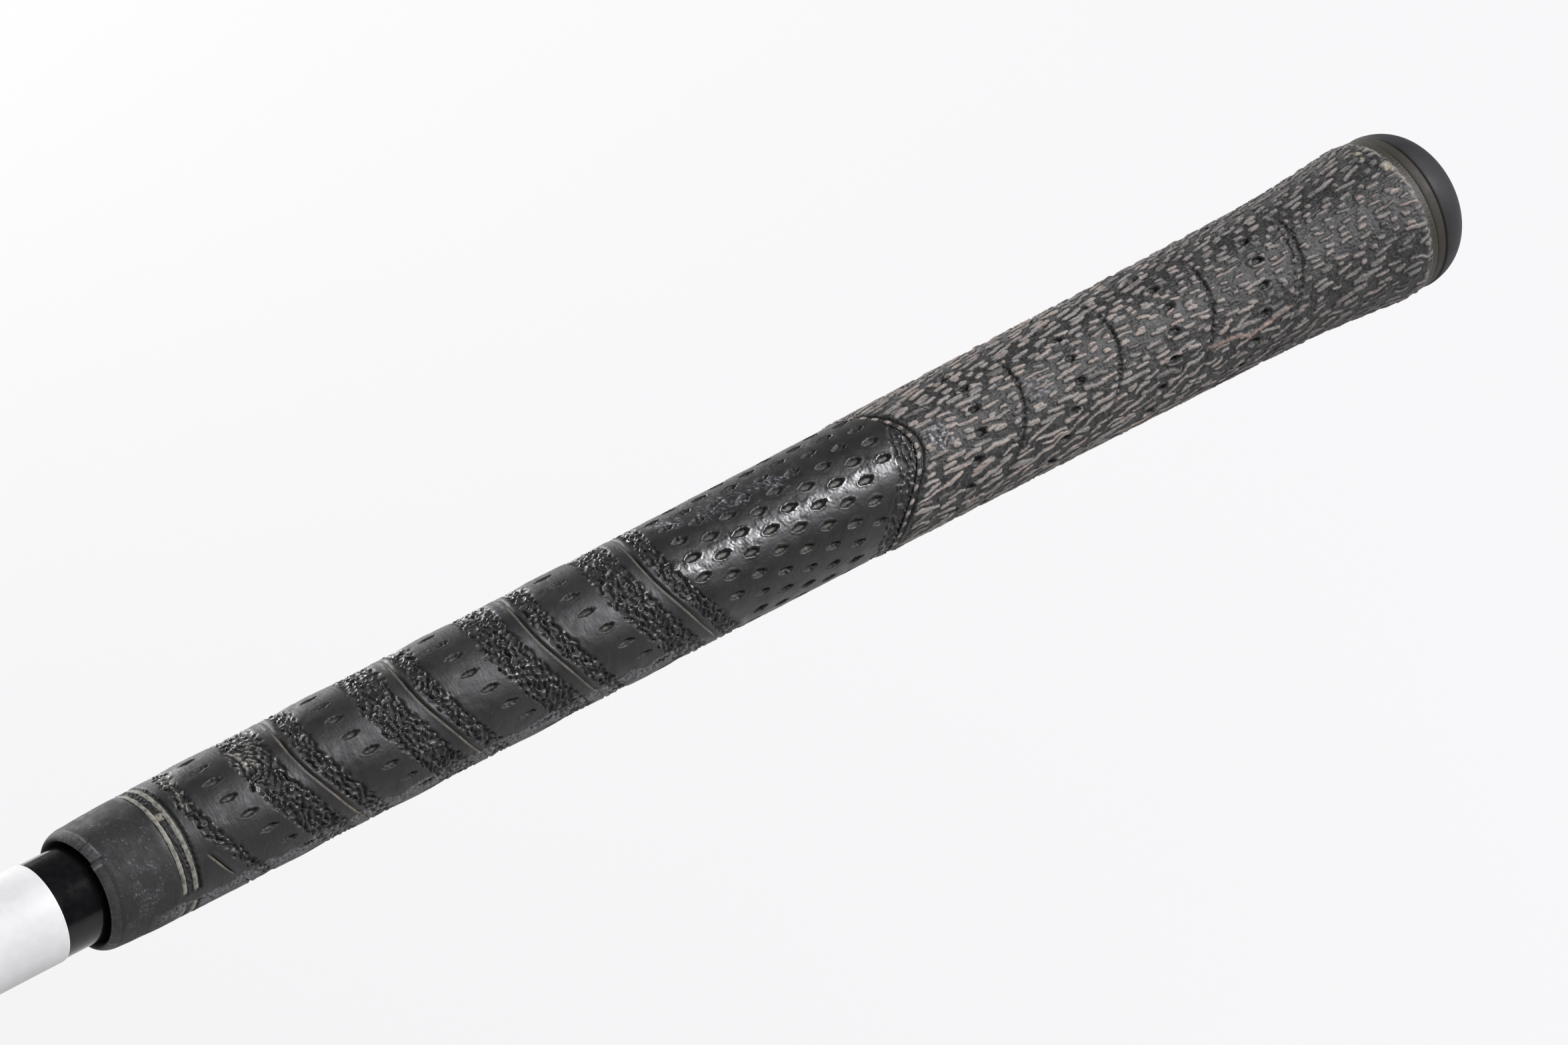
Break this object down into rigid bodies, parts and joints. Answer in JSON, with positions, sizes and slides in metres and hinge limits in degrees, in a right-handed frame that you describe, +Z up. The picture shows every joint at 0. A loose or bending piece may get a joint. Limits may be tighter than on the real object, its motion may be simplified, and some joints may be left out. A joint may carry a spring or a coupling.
{
  "type": "golf grip",
  "caption": "Round tapered club grip: perforated rubber wrap for the lower hand, corded wrap for the upper hand, domed butt cap, on a stub of tubular shaft.",
  "frame": {"origin": "on the shaft's axis, at the grip's mouth (the edge of the lower sleeve nearest the club head)", "axes": "+X along the shaft's axis from the mouth towards the butt cap, +Z up with the club lying level; the side of the grip that shows its best-seen face leans 44 degrees from +Z towards -Y"},
  "size_m": [0.2985, 0.0266, 0.0266],
  "materials": {
    "sleeve_rubber": "satin, worn, dusty in the texture",
    "corded_rubber": "matte rubber with tan and grey cotton cord showing",
    "cap_rubber": "smooth satin",
    "ring_paint": "matte grey paint fill",
    "tape": "creped paper tape",
    "shaft_lacquer": "black gloss lacquer on carbon fibre composite",
    "band_white": "white, satin"
  },
  "bodies": {
    "root": {"rubber_sleeve": "sleeve_rubber", "cord_sleeve": "corded_rubber", "butt_cap": "cap_rubber", "ring_inlay_front": "ring_paint", "ring_inlay_rear": "ring_paint", "grip_tape": "tape", "shaft_tube": "shaft_lacquer", "shaft_band": "band_white"}
  },
  "joints": []
}
